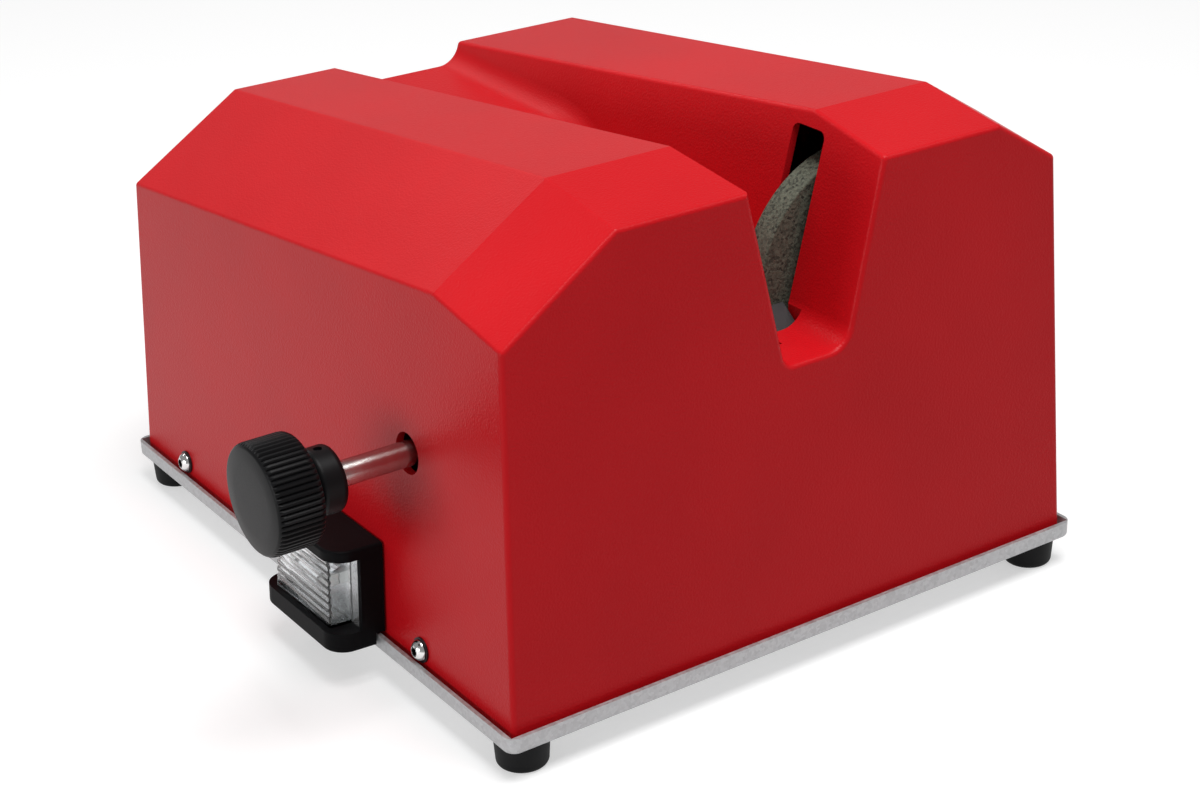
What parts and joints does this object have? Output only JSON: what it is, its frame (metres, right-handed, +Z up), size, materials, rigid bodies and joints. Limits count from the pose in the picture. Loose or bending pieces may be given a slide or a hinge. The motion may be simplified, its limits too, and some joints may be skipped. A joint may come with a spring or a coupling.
{
  "type": "electric knife sharpener",
  "caption": "Bench knife sharpener: faceted red casing with a V groove between two grinding wheels, feed knob, lamp, steel base tray and rubber feet.",
  "frame": {"origin": "centre of the overall footprint on the ground, knob included", "axes": "+Z up, -Y towards the notched front face where the blade enters, -X towards the wall with the feed knob"},
  "size_m": [0.4074, 0.385, 0.248],
  "materials": {
    "red_casing": "satin red paint with a fine texture",
    "galvanised": "galvanised sheet with a fine spangle",
    "foot_rubber": "matt black",
    "zinc_steel": "zinc plated",
    "bright_screw": "bright plated",
    "dark_washer": "black",
    "black_plastic": "moulded, satin",
    "rocker_plastic": "moulded, glossy",
    "ground_steel": "ground and polished",
    "turned_steel": "turned",
    "brass": "plain",
    "cast_plate": "milled plate",
    "motor_paint": "dark grey paint",
    "motor_cap": "die cast",
    "abrasive": "coarse bonded grit",
    "black_sheet": "black paint on sheet steel",
    "clear_lens": "clear, ribbed",
    "bulb_glass": "clear",
    "reflector": "white",
    "capacitor_can": "drawn can",
    "white_plastic": "moulded"
  },
  "bodies": {
    "frame": {"casing": "red_casing", "base_tray": "galvanised", "foot_left_front": "foot_rubber", "foot_right_front": "foot_rubber", "foot_left_back": "foot_rubber", "foot_right_back": "foot_rubber", "lamp_gasket": "foot_rubber", "foot_screws": "zinc_steel", "foot_nuts": "zinc_steel", "angle_tabs": "zinc_steel", "right_motor_bolts": "zinc_steel", "casing_screws": "bright_screw", "screw_washers": "dark_washer", "lamp_housing": "black_plastic", "power_inlet": "black_plastic", "power_switch": "black_plastic", "guide_rods": "ground_steel", "feed_bush": "brass", "inlet_pins": "brass", "lamp_clips": "brass", "lamp_bulb_caps": "brass", "feed_bracket": "cast_plate", "right_motor_bracket": "cast_plate", "rod_support_left": "cast_plate", "rod_support_right": "cast_plate", "right_motor": "motor_paint", "right_motor_cap": "motor_cap", "right_guard": "black_sheet", "right_guard_stay": "black_sheet", "lamp_lens": "clear_lens", "lamp_bulb": "bulb_glass", "lamp_reflector": "reflector", "capacitors": "capacitor_can", "capacitor_saddles": "white_plastic", "terminal_block": "white_plastic"},
    "knob_set": {"knob_head": "black_plastic", "knob_collar": "black_plastic", "knob_grub_screw": "dark_washer", "feed_shaft": "ground_steel", "thrust_collar_outer": "turned_steel", "thrust_collar_inner": "turned_steel"},
    "carriage_set": {"carriage": "cast_plate", "feed_nut": "brass", "slide_bearings": "brass", "left_motor": "motor_paint", "left_motor_cap": "motor_cap", "left_motor_bolts": "zinc_steel", "left_guard": "black_sheet", "left_guard_stay": "black_sheet"},
    "left_spindle": {"left_arbor": "ground_steel", "left_flange_inner": "turned_steel", "left_flange_outer": "turned_steel", "left_wheel": "abrasive", "left_arbor_nut": "zinc_steel"},
    "right_spindle": {"right_arbor": "ground_steel", "right_flange_inner": "turned_steel", "right_flange_outer": "turned_steel", "right_wheel": "abrasive", "right_arbor_nut": "zinc_steel"},
    "rocker": {"switch_rocker": "rocker_plastic"}
  },
  "joints": [
    {"name": "feed_slide", "type": "slide", "parent": "frame", "child": "carriage_set", "axis": [1, 0, 0], "range_m": [0, 0.01]},
    {"name": "knob_turn", "type": "hinge", "parent": "frame", "child": "knob_set", "pos_m": [-0.13075, -0.101, 0.125], "axis": [1, 0, 0], "range_deg": [0, 1200]},
    {"name": "left_wheel_spin", "type": "hinge", "parent": "carriage_set", "child": "left_spindle", "pos_m": [-0.03325, -0.148, 0.164], "axis": [0, 1, 0], "continuous": true},
    {"name": "right_wheel_spin", "type": "hinge", "parent": "frame", "child": "right_spindle", "pos_m": [0.11175, -0.1255, 0.164], "axis": [0, 1, 0], "continuous": true},
    {"name": "rocker_tilt", "type": "hinge", "parent": "frame", "child": "rocker", "pos_m": [-0.01875, 0.18204, 0.06183], "axis": [1, 0, 0], "range_deg": [0, 16]}
  ],
  "couplings": [
    {"joint": "knob_turn", "follows": "feed_slide", "rad_per_m": 2094.4}
  ]
}
